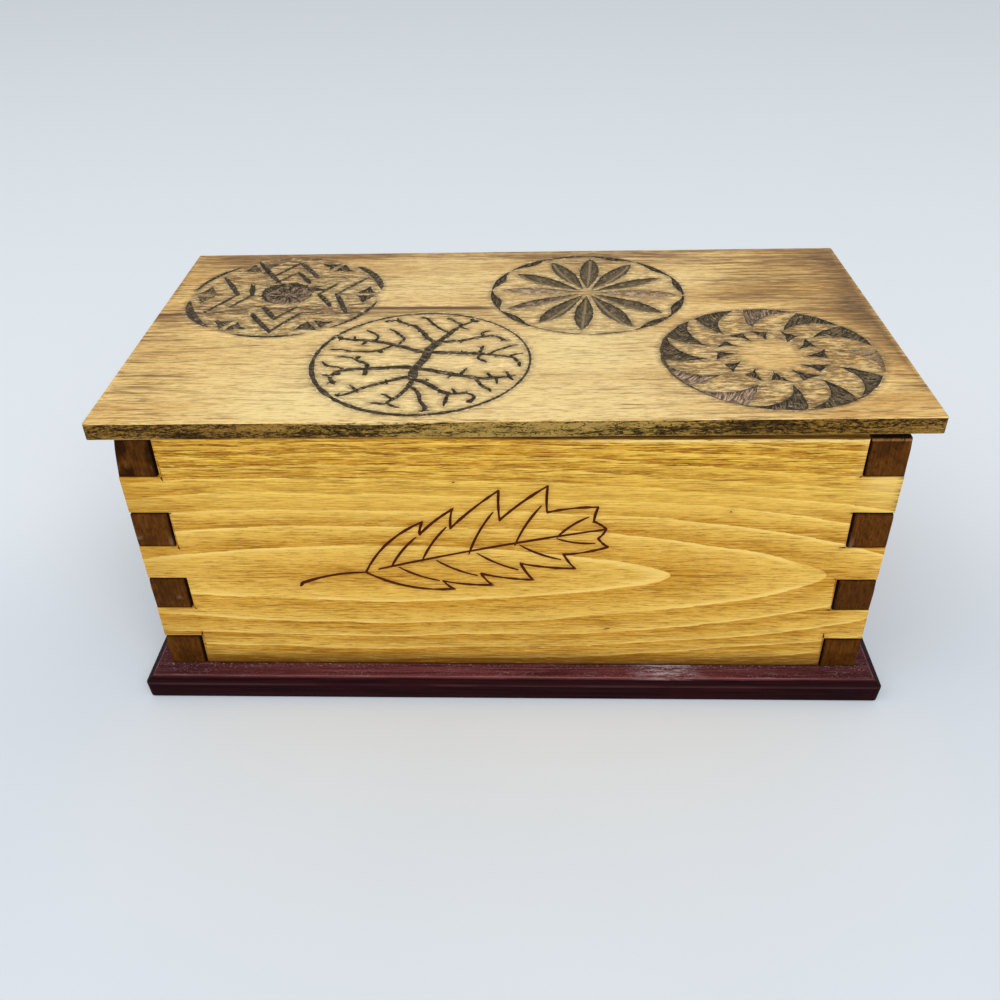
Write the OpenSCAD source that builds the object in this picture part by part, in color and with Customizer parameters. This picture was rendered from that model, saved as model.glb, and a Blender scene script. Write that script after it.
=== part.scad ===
// Keepsake box: four finger-jointed boards on a moulded base plate, closed by a lid on two butt hinges.
// Millimetres, +Z up, the front faces -Y, and the origin is the middle of the base plate's underside.

/* [Carcass] */
// Width over the two side boards
body_w = 228.6; // [180:0.2:320]
// Depth over the front and back boards
body_d = 120.6; // [100:0.2:200]
// Height of the four boards
body_h = 88.9; // [60:0.1:140]
// Thickness of the four boards
board_t = 11.8; // [11.8:0.1:16]

/* [Finger joints] */
// Fingers up one corner, those of both boards together
finger_count = 7; // [5:2:11]
// How far hand sawing has let the middle fingers sit below even spacing
finger_drift = 1; // [0:0.1:1.5]

/* [Base plate] */
// Thickness of the base plate
base_t = 7.8; // [6:0.1:12]
// How far the plate stands out past the left and right sides
base_over_x = 7.2; // [3:0.1:12]
// How far the plate stands out past the front and back
base_over_y = 8.1; // [8:0.1:12]
// Width of the bevel round the plate's top edge
base_bevel = 1.8; // [0.5:0.1:2.5]
// Rounding of the plate's upright corners
base_corner_r = 1.6; // [0.5:0.1:4]

/* [Lid] */
// Length of the lid, left to right
lid_w = 243; // [230:0.1:330]
// Depth of the lid, front to back
lid_d = 127; // [124:0.1:127]
// Thickness of the lid
lid_t = 5.4; // [5.2:0.1:8]
// Gap between the closed lid and the rim
lid_gap = 0.35; // [0.2:0.05:0.8]
// How far the lid's front edge stands out past the front board, at the middle
lid_over_front = -0.2; // [-1:0.1:1]
// How far the lid sits to the right of the carcass
lid_shift = 0.8; // [-1:0.1:1]
// How far the lid is turned in plan, as it was hung by hand, in degrees
lid_skew = 0.65; // [0:0.05:0.7]
// Rounding of the lid's upright corners
lid_corner_r = 0.7; // [0.5:0.1:3]

/* [Carving] */
// Radius of the four roundels carved in the lid
roundel_r = 33.6; // [30:0.1:34]
// Depth of the deepest knife cuts
cut_depth = 1.2; // [0.6:0.05:1.3]
// Number of petals in the rosette
petal_count = 12; // [8:1:12]
// Number of cuts in each ring of the whirl
whirl_count = 12; // [8:1:12]

/* [Hinges] */
// Length of a hinge along its pin
hinge_len = 25.4; // [20:0.1:32]
// Distance of each hinge's middle from the middle of the box
hinge_at = 72; // [45:0.5:75]
// Width of a leaf, from the pin's centre line
leaf_w = 9; // [8:0.1:9.5]
// Thickness of a leaf
leaf_t = 0.9; // [0.8:0.05:1]
// Outer radius of the knuckles
barrel_r = 1.7; // [1.6:0.05:1.8]
// Radius of the hinge pin
pin_r = 0.8; // [0.7:0.05:0.8]
// How far the pin's centre line stands out past the back board
pin_out = 0.6; // [0.4:0.1:0.8]

/* [Hidden] */
$fn = 48;

LEFT = -1;
RIGHT = 1;
FRONT = -1;
BACK = 1;

pine = [0.85, 0.62, 0.27];
walnut = [0.33, 0.18, 0.10];
purpleheart = [0.26, 0.07, 0.12];
stained_pine = [0.70, 0.50, 0.27];
brass = [0.80, 0.65, 0.35];
steel = [0.72, 0.70, 0.62];

over = 1;            // how far a cutter runs past the face it opens
running = 0.05;      // radial clearance of the turning knuckles on the pin
knuckle_count = 5;   // the box leaf has the odd ones, the lid leaf the even ones
knuckle_gap = 0.12;  // end play between two knuckles
notch_gap = 0.2;     // clearance between a leaf's edge and the other leaf's knuckles
seat_gap = 0.1;      // clearance round a leaf in its mortise
relief = 0.3;        // extra mortise depth under and over the barrel
relief_reach = 2;    // how far the relief runs forward from the pin's centre line

rim_z = base_t + body_h;
lid_z = rim_z + lid_gap;
back_y = body_d / 2;
lid_mid_y = lid_d / 2 - body_d / 2 - lid_over_front;
axis_y = back_y + pin_out;
axis_z = lid_z - (barrel_r - leaf_t);

// Hinge screws: head radius, shank radius, length, and where the two sit on a leaf
hinge_screw = [1.9, 1.0, 3.9];
hinge_screw_x = hinge_len * 0.27;
hinge_screw_y = leaf_w * 0.60;

// Base screws, driven up through the plate into the front and back boards
base_screw = [3.0, 1.5, 19];
base_screw_x = body_w * 0.37;
base_screw_y = body_d / 2 - board_t / 2;
base_screw_sunk = 0.4;

pilot_gap = 0.03;    // clearance of a shank in its hole
slot_w = 0.16;       // width and depth of a screw slot, as shares of the head's diameter
slot_depth = 0.14;

// Middles of the roundels on the lid, as shares of its length and depth
star_at = [-0.3315, 0.197];
rosette_at = [0.107, 0.19];
tree_at = [-0.1165, -0.2055];
whirl_at = [0.33, -0.199];

// The other knife cuts' depths, as shares of the deepest
chip_share = 0.85;
line_share = 0.5;

// Distance below the rim at which finger number k begins
function finger_line(k) =
    let (share = k / finger_count)
    body_h * share + 4 * finger_drift * share * (1 - share);

// The block that two boards share at one corner, at the height of finger k
module corner_block(side_x, side_y, k) {
    last = finger_count - 1;
    low = rim_z - finger_line(k + 1) - (k == last ? over : 0);
    high = rim_z - finger_line(k) + (k == 0 ? over : 0);
    size = board_t + over;
    translate([
        side_x * (body_w / 2 - board_t + size / 2),
        side_y * (body_d / 2 - board_t + size / 2),
        (low + high) / 2
    ])
        cube([size, size, high - low], center = true);
}

// A plate from z 0 up, with round upright corners
module rounded_slab(w, d, h, r) {
    linear_extrude(height = h) {
        square([w - 2 * r, d], center = true);
        square([w, d - 2 * r], center = true);
        for (x = [-1, 1], y = [-1, 1])
            translate([x * (w / 2 - r), y * (d / 2 - r)]) circle(r);
    }
}

// A countersunk wood screw, its head's face at z 0 and its point along -Z; spec is [head r, shank r, length]
module screw_body(spec, extra = 0) {
    head = spec[0] - spec[1];
    point = spec[1] * 1.6;
    translate([0, 0, -head]) cylinder(h = head, r1 = spec[1] + extra, r2 = spec[0]);
    translate([0, 0, -spec[2] + point]) cylinder(h = spec[2] - point - head, r = spec[1] + extra);
    translate([0, 0, -spec[2]]) cylinder(h = point, r1 = 0.1 * spec[1] + extra, r2 = spec[1] + extra);
}

module screw(spec) {
    difference() {
        screw_body(spec);
        cube([3 * spec[0], 2 * spec[0] * slot_w, 4 * spec[0] * slot_depth], center = true);
    }
}

// The hole that a screw fills, open above its head
module screw_hole(spec) {
    screw_body(spec, pilot_gap);
    cylinder(h = over, r = spec[0]);
}

module base_screw_places() {
    for (x = [-1, 0, 1], y = [FRONT, BACK])
        translate([x * base_screw_x, y * base_screw_y, base_screw_sunk])
            mirror([0, 0, 1]) children();
}

// The places of one leaf's two screws: facing up on the box leaf, and down on the lid leaf
module hinge_screw_places(side_x, lid_leaf) {
    turn = lid_leaf ? 1 : 0;
    face = (lid_leaf ? 1 : -1) * (barrel_r - leaf_t);
    for (x = [-1, 1])
        translate([side_x * hinge_at + x * hinge_screw_x, axis_y - hinge_screw_y, axis_z + face])
            mirror([0, 0, turn]) children();
}

module base_plate() {
    w = body_w + 2 * base_over_x;
    d = body_d + 2 * base_over_y;
    color(purpleheart)
        difference() {
            intersection() {
                rounded_slab(w, d, base_t, base_corner_r);
                rotate([90, 0, 0]) linear_extrude(height = 2 * d, center = true) bevelled_section(w);
                rotate([90, 0, 90]) linear_extrude(height = 2 * w, center = true) bevelled_section(d);
            }
            base_screw_places() screw_hole(base_screw);
        }
}

// The plate's cross-section: square below, bevelled at its two top edges
module bevelled_section(w) {
    b = base_bevel;
    polygon([
        [-w / 2, 0], [w / 2, 0], [w / 2, base_t - b], [w / 2 - b, base_t],
        [-w / 2 + b, base_t], [-w / 2, base_t - b]
    ]);
}

// The front or back board: the side boards' fingers, the first and every second one, are cut out of its ends
module long_board(side_y) {
    difference() {
        translate([-body_w / 2, side_y * (body_d - board_t) / 2 - board_t / 2, base_t])
            cube([body_w, board_t, body_h]);
        for (side_x = [LEFT, RIGHT], k = [0 : 2 : finger_count - 1])
            corner_block(side_x, side_y, k);
        base_screw_places() screw_hole(base_screw);
    }
}

module front_board() {
    color(pine) long_board(FRONT);
}

module back_board() {
    color(pine)
        difference() {
            long_board(BACK);
            for (side_x = [LEFT, RIGHT]) {
                mortise(side_x, axis_z - barrel_r, rim_z + over, leaf_w);
                mortise(side_x, axis_z - barrel_r - relief, rim_z + over, relief_reach);
                hinge_screw_places(side_x, false) screw_hole(hinge_screw);
            }
        }
}

// A cut for a hinge from its front edge back through the outer face, between two heights
module mortise(side_x, low, high, reach) {
    w = hinge_len + 2 * seat_gap;
    front = axis_y - reach - seat_gap;
    translate([side_x * hinge_at - w / 2, front, low])
        cube([w, lid_d, high - low]);
}

module side_board(side_x) {
    color(walnut)
        difference() {
            translate([side_x * (body_w - board_t) / 2 - board_t / 2, -body_d / 2, base_t])
                cube([board_t, body_d, body_h]);
            for (side_y = [FRONT, BACK], k = [1 : 2 : finger_count - 2])
                corner_block(side_x, side_y, k);
        }
}

// A roundel's place on the lid's upper face
module roundel(at) {
    translate([at[0] * lid_w, at[1] * lid_d, lid_t]) children();
}

// The point at a radius and an angle round a roundel's middle
function around(r, angle) = r * [cos(angle), sin(angle)];

// Radius of the arc that rises by rise over half a chord
function arc_radius(half, rise) = (half * half + rise * rise) / (2 * rise);

// A flat-bottomed cut of the outline given, down from z 0
module carve(depth) {
    translate([0, 0, -depth]) linear_extrude(height = depth + over) children();
}

// A ring or a disc cut down from z 0
module carve_ring(outer, inner, depth) {
    carve(depth)
        difference() {
            circle(outer);
            if (inner > 0) circle(inner);
        }
}

// A leaf-shaped cut on +X from radius a to radius b, its two floors meeting in a line down its middle
module petal(a, b, wide) {
    reach = (b - a) / 2;
    r = arc_radius(reach, wide / 2);
    intersection() {
        carve(cut_depth + over)
            intersection() {
                translate([a + reach, r - wide / 2]) circle(r);
                translate([a + reach, wide / 2 - r]) circle(r);
            }
        rotate([90, 0, 90])
            linear_extrude(height = roundel_r)
                polygon([[0, -cut_depth], [wide * 0.6, 0], [wide * 0.6, over], [-wide * 0.6, over], [-wide * 0.6, 0]]);
    }
}

// A crescent along the rim round +X: it spans the angle, swells to its width in the middle, and
// stands out past the rim by the bulge
module crescent(angle, wide, bulge) {
    half = roundel_r * sin(angle / 2);
    chord_x = roundel_r * cos(angle / 2);
    outer_rise = roundel_r - chord_x + bulge;
    inner_rise = outer_rise - wide;
    outer_r = arc_radius(half, outer_rise);
    inner_r = arc_radius(half, abs(inner_rise));
    carve(cut_depth * chip_share)
        if (inner_rise > 0)
            difference() {
                translate([chord_x + outer_rise - outer_r, 0]) circle(outer_r);
                translate([chord_x + inner_rise - inner_r, 0]) circle(inner_r);
            }
        else
            intersection() {
                translate([chord_x + outer_rise - outer_r, 0]) circle(outer_r);
                translate([chord_x + inner_rise + inner_r, 0]) circle(inner_r);
            }
}

// Petals round a middle, with a swelling cut between each two at the rim
module rosette() {
    pitch = 360 / petal_count;
    for (k = [0 : petal_count - 1]) {
        rotate(24.5 + pitch * k) petal(roundel_r * 0.09, roundel_r * 0.9, roundel_r * 0.19);
        rotate(24.5 + pitch * (k + 0.5)) crescent(pitch - 1.5, roundel_r * 0.08, 0);
    }
}

// One three-cornered cut of the whirl, its trailing side hollow
module whirl_chip() {
    pitch = 360 / whirl_count;
    tip_r = roundel_r * 0.585;
    hollow_r = roundel_r * 0.44;
    carve(cut_depth * chip_share)
        intersection() {
            circle(roundel_r);
            difference() {
                polygon([
                    around(tip_r, 2), around(roundel_r * 1.06, -0.92 * pitch),
                    around(roundel_r * 1.1, -0.45 * pitch), around(roundel_r * 1.05, -0.1)
                ]);
                translate(around(roundel_r * 0.604, -1.38 * pitch)) circle(hollow_r);
            }
        }
}

// A turning ring of hollow cuts round a smaller one of thorns
module whirl() {
    pitch = 360 / whirl_count;
    thorn = [
        around(roundel_r * 0.48, -0.6 * pitch), around(roundel_r * 0.324, -0.57 * pitch),
        around(roundel_r * 0.506, 0)
    ];
    for (k = [0 : whirl_count - 1]) {
        rotate(6 + pitch * k) whirl_chip();
        rotate(10 + pitch * k) carve(cut_depth * chip_share) polygon(thorn);
    }
}

// Corners of a six-pointed star with its notches on the X axis
function star_corners(tip, notch) = [for (i = [0 : 11]) around(i % 2 == 0 ? notch : tip, 30 * i)];

// A knife line of the width given along a star's outline
module star_line(tip, notch, width) {
    side = norm(around(tip, 30) - [notch, 0]);
    middle_gap = tip * notch * sin(30) / side;
    grow = width / 2 / middle_gap;
    carve(cut_depth * line_share)
        difference() {
            polygon(star_corners(tip * (1 + grow), notch * (1 + grow)));
            polygon(star_corners(tip * (1 - grow), notch * (1 - grow)));
        }
}

// Two nested stars round a hollow, with paired nicks in the notches and crescents at the points
module star() {
    star_line(roundel_r * 0.875, roundel_r * 0.53, roundel_r * 0.042);
    star_line(roundel_r * 0.595, roundel_r * 0.35, roundel_r * 0.036);
    carve_ring(roundel_r * 0.26, 0, cut_depth * line_share);
    for (k = [0 : 5]) {
        rotate(60 * k)
            for (side = [-1, 1])
                carve(cut_depth * chip_share * 0.85)
                    polygon(roundel_r * [[0.745, 0.027 * side], [0.965, 0.027 * side], [0.857, 0.22 * side]]);
        rotate(60 * k + 30) crescent(42, roundel_r * 0.055, roundel_r * 0.02);
    }
}

// A bough along +X that forks, each fork a smaller bough
module bough(long, thick, forks) {
    polygon([[0, -thick / 2], [long, -thick * 0.38], [long, thick * 0.38], [0, thick / 2]]);
    if (forks > 0)
        for (turn = [-1, 1])
            translate([long * 0.96, 0]) rotate(turn * 15) bough(long * 0.86, thick * 0.74, forks - 1);
}

// A ring that holds a tree with its roots, three boughs and three roots from a short trunk
module tree() {
    trunk = roundel_r * 0.3;
    thick = roundel_r * 0.055;
    carve_ring(roundel_r * 1.02, roundel_r * 0.985, cut_depth * line_share);
    carve(cut_depth * line_share) {
        square([thick * 1.5, trunk * 1.1], center = true);
        for (end = [-1, 1], turn = [-52, 0, 52])
            translate([0, end * trunk / 2]) rotate(end * 90 + turn) bough(roundel_r * 0.27, thick, 2);
    }
}

module lid_board() {
    color(stained_pine)
        difference() {
            translate([lid_shift, lid_mid_y, lid_z])
                rotate(lid_skew)
                    difference() {
                        rounded_slab(lid_w, lid_d, lid_t, lid_corner_r);
                        roundel(star_at) star();
                        roundel(rosette_at) rosette();
                        roundel(tree_at) tree();
                        roundel(whirl_at) whirl();
                    }
            for (side_x = [LEFT, RIGHT]) {
                mortise(side_x, lid_z - over, lid_z + leaf_t, leaf_w);
                mortise(side_x, lid_z - over, lid_z + leaf_t + relief, relief_reach);
                hinge_screw_places(side_x, true) screw_hole(hinge_screw);
            }
        }
}

// One knuckle and the tongue that curls into it from the leaf, round the pin's centre line
module knuckle(i) {
    pitch = hinge_len / knuckle_count;
    w = pitch - knuckle_gap;
    translate([(i - (knuckle_count - 1) / 2) * pitch, 0, 0]) {
        rotate([0, 90, 0]) cylinder(h = w, r = barrel_r, center = true);
        translate([-w / 2, -barrel_r - notch_gap, -barrel_r])
            cube([w, barrel_r + notch_gap, leaf_t]);
    }
}

// A leaf with its own knuckles, flat below the pin's centre line, from knuckle number first
module leaf(first, bore_r) {
    difference() {
        union() {
            translate([-hinge_len / 2, -leaf_w, -barrel_r])
                cube([hinge_len, leaf_w - barrel_r - notch_gap, leaf_t]);
            for (i = [first : 2 : knuckle_count - 1]) knuckle(i);
        }
        rotate([0, 90, 0]) cylinder(h = 2 * hinge_len, r = bore_r, center = true);
    }
}

module hinge_box_leaf(side_x) {
    color(brass)
        difference() {
            translate([side_x * hinge_at, axis_y, axis_z]) leaf(0, pin_r);
            hinge_screw_places(side_x, false) screw_hole(hinge_screw);
        }
}

module hinge_lid_leaf(side_x) {
    color(brass)
        difference() {
            translate([side_x * hinge_at, axis_y, axis_z])
                mirror([0, 0, 1]) leaf(1, pin_r + running);
            hinge_screw_places(side_x, true) screw_hole(hinge_screw);
        }
}

module hinge_pin(side_x) {
    color(steel)
        translate([side_x * hinge_at, axis_y, axis_z])
            rotate([0, 90, 0]) cylinder(h = hinge_len, r = pin_r, center = true);
}

module hinge_screws(side_x, lid_leaf) {
    color(brass) hinge_screw_places(side_x, lid_leaf) screw(hinge_screw);
}

module base_screws() {
    color(steel) base_screw_places() screw(base_screw);
}

base_plate();
front_board();
back_board();
side_board(LEFT);  // left_side_board
side_board(RIGHT);  // right_side_board
lid_board();
hinge_box_leaf(LEFT);  // left_hinge_box_leaf
hinge_lid_leaf(LEFT);  // left_hinge_lid_leaf
hinge_pin(LEFT);  // left_hinge_pin
hinge_box_leaf(RIGHT);  // right_hinge_box_leaf
hinge_lid_leaf(RIGHT);  // right_hinge_lid_leaf
hinge_pin(RIGHT);  // right_hinge_pin
hinge_screws(LEFT, false);  // left_hinge_box_screws
hinge_screws(LEFT, true);  // left_hinge_lid_screws
hinge_screws(RIGHT, false);  // right_hinge_box_screws
hinge_screws(RIGHT, true);  // right_hinge_lid_screws
base_screws();
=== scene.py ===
import random
from math import atan2, cos, degrees, pi, radians, sin, sqrt

import bpy
import numpy as np
from mathutils import Matrix, Vector
from mathutils.geometry import delaunay_2d_cdt


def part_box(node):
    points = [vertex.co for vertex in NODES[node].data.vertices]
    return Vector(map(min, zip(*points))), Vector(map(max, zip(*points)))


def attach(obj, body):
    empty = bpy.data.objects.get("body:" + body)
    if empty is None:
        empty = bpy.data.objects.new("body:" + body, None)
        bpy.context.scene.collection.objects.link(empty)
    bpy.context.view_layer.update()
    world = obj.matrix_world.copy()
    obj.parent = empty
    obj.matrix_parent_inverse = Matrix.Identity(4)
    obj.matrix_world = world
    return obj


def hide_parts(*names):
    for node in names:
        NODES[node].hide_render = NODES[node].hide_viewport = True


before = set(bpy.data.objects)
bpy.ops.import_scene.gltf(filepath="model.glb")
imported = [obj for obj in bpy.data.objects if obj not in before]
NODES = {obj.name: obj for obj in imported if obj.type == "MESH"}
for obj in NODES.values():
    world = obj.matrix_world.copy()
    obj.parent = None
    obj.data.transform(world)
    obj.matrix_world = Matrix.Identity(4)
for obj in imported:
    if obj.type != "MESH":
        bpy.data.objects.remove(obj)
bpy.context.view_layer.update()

rng = np.random.default_rng(20)
draw = rng.uniform


def extent(node):
    """The lowest and highest corners of a CAD node, in millimetres."""
    low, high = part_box(node)
    return np.array(low) * 1000, np.array(high) * 1000


BASE_LOW, BASE_HIGH = extent("base_plate")
FRONT_LOW, FRONT_HIGH = extent("front_board")
SIDE_LOW, SIDE_HIGH = extent("right_side_board")
LID_LOW, LID_HIGH = extent("lid_board")
PIN_LOW, PIN_HIGH = extent("right_hinge_pin")
# Heights of the base plate's top, and of the front board's lower and upper edge
BASE_TOP = BASE_HIGH[2]
FOOT, TOP = FRONT_LOW[2], FRONT_HIGH[2]
SIDE_THICK = SIDE_HIGH[0] - SIDE_LOW[0]
LID_SIZE = (243.0, 127.0)
LID_CORNER = 0.7
LID_SKEW = radians(0.65)
LID_MIDDLE = (LID_LOW[:2] + LID_HIGH[:2]) / 2
FINGERS = 7
FINGER_DRIFT = 1.0
# The corners of each hand-cut socket, by side and finger, for the saw marks
SOCKETS = {}
SCREW_X, SCREW_Y = extent("base_screws")[1][:2] - 3.0
SCREW_HEAD = 3.03
SCREW_SINK = 0.45
# How far a hinge leaf and its knuckles reach over the lid from the pin, and how deep they are let in
LEAF_REACH, LEAF_POCKET = 9.1, 0.9
KNUCKLE_REACH, KNUCKLE_POCKET = 2.1, 1.2
# The inset and drop of an eased arris
EASED = ((0, 0.3), (0.05, 0.16), (0.14, 0.05), (0.3, 0))
VIEW_PITCH, VIEW_YAW, VIEW_ROLL = radians(35.339), radians(2.342), radians(-1.335)
VIEW_PLACE = (0.00768, -0.296594, 0.243098)
VIEW_LENS = 35.323
LAMP_AIM = (0, 0, 0.05)


# Materials

class Wire:
    """A node's output socket, with arithmetic that adds Math nodes."""

    def __init__(self, net, socket):
        self.net, self.socket = net, socket

    def math(self, operation, *values):
        return self.net.add("Math", dict(enumerate(values)), operation=operation)

    def __rsub__(self, other):
        return self.math("SUBTRACT", other, self)

    def rise(self, low, high):
        """0 below low, 1 above high, and smooth between; high may be the lower of the two."""
        return self.net.add("MapRange", {"Value": self, "From Min": low, "From Max": high},
                            interpolation_type="SMOOTHSTEP")

    def near(self, middle, reach):
        """1 at middle, falling to 0 at reach to either side."""
        return (self - middle).size().rise(reach, 0)


# The methods that add one Math node each
for method, kind in dict(__add__="ADD", __radd__="ADD", __sub__="SUBTRACT", __mul__="MULTIPLY",
                         __rmul__="MULTIPLY", __truediv__="DIVIDE", root="SQRT", size="ABSOLUTE",
                         part="FRACT", power="POWER", least="MINIMUM", most="MAXIMUM").items():
    setattr(Wire, method, lambda self, *others, kind=kind: self.math(kind, self, *others))


class Net:
    """A material's node tree. Its colour is built up coat by coat."""

    def __init__(self, name):
        self.material = bpy.data.materials.new(name)
        self.material.use_nodes = True
        self.tree = self.material.node_tree
        self.tree.nodes.clear()
        place = self.add("TexCoord", out="Object")
        self.at = self.add("VectorMath", {0: place, 1: (1000, 1000, 1000)}, operation="MULTIPLY")
        split = self.add("SeparateXYZ", {0: self.at})
        self.xyz = [Wire(self, split.socket.node.outputs[i]) for i in range(3)]
        self.colour = None

    def add(self, kind, inputs=None, out=0, **settings):
        node = self.tree.nodes.new("ShaderNode" + kind)
        for key, value in settings.items():
            setattr(node, key, value)
        for key, value in (inputs or {}).items():
            if isinstance(value, Wire):
                self.tree.links.new(value.socket, node.inputs[key])
            else:
                node.inputs[key].default_value = value
        return Wire(self, node.outputs[out]) if len(node.outputs) else None

    def noise(self, grain, shift=0, detail=2, rough=0.5, at=None, warp=0):
        """Noise from 0 to 1 whose features are about grain = (x, y, z) millimetres long."""
        scaled = self.add("VectorMath", {0: at or self.at, 1: [1 / g for g in grain], 2: [shift] * 3},
                          operation="MULTIPLY_ADD")
        return self.add("TexNoise", {"Vector": scaled, "Scale": 1, "Detail": detail, "Roughness": rough,
                                     "Distortion": warp})

    def mix(self, share, a, b, blend="MIX"):
        return self.add("Mix", {0: share, 6: a, 7: b}, out=2, data_type="RGBA", blend_type=blend)

    def coat(self, share, r, g, b, blend="MIX"):
        """Lays a colour over the colour so far, as strongly as share says."""
        self.colour = self.mix(share, self.colour, rgb(r, g, b), blend)

    def attribute(self, name, out="Fac"):
        return self.add("Attribute", out=out, attribute_name=name)

    def finish(self, rough, height=None, depth=0.0, shine=0.5, metallic=0):
        inputs = {"Base Color": self.colour, "Roughness": rough, "Specular IOR Level": shine,
                  "Metallic": metallic}
        if height is not None:
            inputs["Normal"] = self.add("Bump", {"Height": height, "Distance": depth, "Strength": 1.0})
        shader = self.add("BsdfPrincipled", inputs)
        self.add("OutputMaterial", {"Surface": shader})
        return self.material


def rgb(r, g, b):
    """A colour given as it looks on a screen, 0 to 255, made linear for a shader."""
    def linear(c):
        c /= 255.0
        return c / 12.92 if c <= 0.04045 else ((c + 0.055) / 1.055) ** 2.4
    return (linear(r), linear(g), linear(b), 1.0)


def flecks(net, long, high, shift, low, top):
    """Thin dark streaks along X."""
    return net.noise((long, high * 1.2, high), shift, 4, 0.62).rise(low, top)


def pine(name, crown, phase, opens):
    """Golden oiled pine cut flat: pointed rings on the face that widen away from it, with fine dark streaks.
    crown is the height of the figure's middle, and opens is which way along X its points lie."""
    net = Net(name)
    x, y, z = net.xyz
    coat, noise = net.coat, net.noise
    sway = (noise((60, 26, 13), 3, 2) - 0.5) * 5 + (noise((7, 4, 1), 8, 3, 0.65) - 0.5) * 1.1
    up = z - crown + sway
    x = x * opens
    rings = (up * up + 6).root() * 0.05 + up * up * 0.0023 + x * 0.0075 + x * x * 0.00009 + y * (0.1 * opens)
    ring = (rings + phase).part()
    light = ring.rise(0, 0.97)
    cloud = noise((46, 12, 7), 1, 3)
    streak = flecks(net, 19, 0.48, 5, 0.5, 0.61)
    tick = flecks(net, 5, 0.34, 15, 0.54, 0.63)
    finer = noise((8, 0.45, 0.42), 9, 3, 0.75)
    net.colour = net.mix(light, rgb(211, 154, 48), rgb(240, 194, 90))
    coat(cloud.rise(0.4, 0.72) * 0.4, 240, 190, 84)
    shade = 1 - light * 0.66
    coat(streak * shade * (0.3 + 0.7 * cloud.rise(0.64, 0.36)) * 0.88, 154, 100, 14)
    coat(tick * (0.25 + 0.75 * shade) * 0.68, 142, 90, 12)
    coat(finer.rise(0.54, 0.63) * 0.68, 148, 94, 14)
    coat(finer.rise(0.45, 0.35) * 0.52, 255, 222, 126)
    pale = ring.near(0.96, 0.13) * noise((34, 9, 9), 2, 1).rise(0.3, 0.55)
    coat(pale * 0.75, 255, 217, 122)
    top = z.rise(TOP - 30, TOP - 4)
    low = z.rise(FOOT + 28, FOOT)
    band = noise((24, 6, 2.2), 7, 4, 0.65).rise(0.4, 0.62)
    coat(band * (top * 0.52 + low * 0.6) * (0.34 + 0.66 * shade), 150, 96, 6)
    coat(z.near(77, 13) * x.rise(-98, -80) * 0.3, 255, 214, 104)
    fleck = flecks(net, 13, 0.48, 45, 0.53, 0.6)
    coat(fleck * (top + low * 0.45) * 0.86, 118, 66, 0)
    coat(finer.rise(0.48, 0.38) * top * 0.65, 255, 220, 112)
    # Painted light: the upper part of the face is tinted warmer, cancelling the bluish sky light in the shade
    # under the lid.
    coat(top * 0.8, 255, 248, 208, "MULTIPLY")
    coat(x.rise(-96, -112) * 0.3, 170, 118, 24)
    coat(x.rise(98, 110) * top * 0.85, 255, 218, 128)
    foot = z.rise(FOOT + 7.4, FOOT + 1.6)
    coat(foot * finer.rise(0.15, 0.5) * 0.84, 108, 66, 12)
    # Painted shade: a dark line along the foot, in the crease where the face meets the base.
    coat(z.rise(FOOT + 1.3, FOOT + 0.3) * 0.88, 44, 18, 6)
    end = x.rise(FRONT_HIGH[0] - 2.6, FRONT_HIGH[0]) * z.rise(62, 70)
    coat(end * finer.rise(0.4, 0.58) * 0.75, 122, 84, 10)
    # Painted shadow: rim darkens the top edge of the face, on its right part, where the gap under the lid is
    # in shade. Painted highlight: the pale line just below it, on the right, is the top arris catching the
    # light.
    rim = z.rise(TOP - 0.5, TOP - 0.2) * y.size().rise(58, 59.2)
    lightened = z.near(TOP - 1, 0.7) * y.rise(-58, -59.8) * x.rise(5, 40)
    coat(lightened * tick.rise(0.9, 0.2) * 0.8, 255, 226, 150)
    coat(rim * x.rise(-40, 10) * 0.9, 58, 30, 6)
    cut = net.attribute("burn")
    coat(net.attribute("near") * 0.28, 150, 84, 30)
    coat(cut, 78, 32, 4)
    height = streak * -0.5 + light * 0.35 + finer * 0.3
    return net.finish(0.45 + streak * 0.16 + cut * 0.25, height, 0.00006, shine=0.12)


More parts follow.
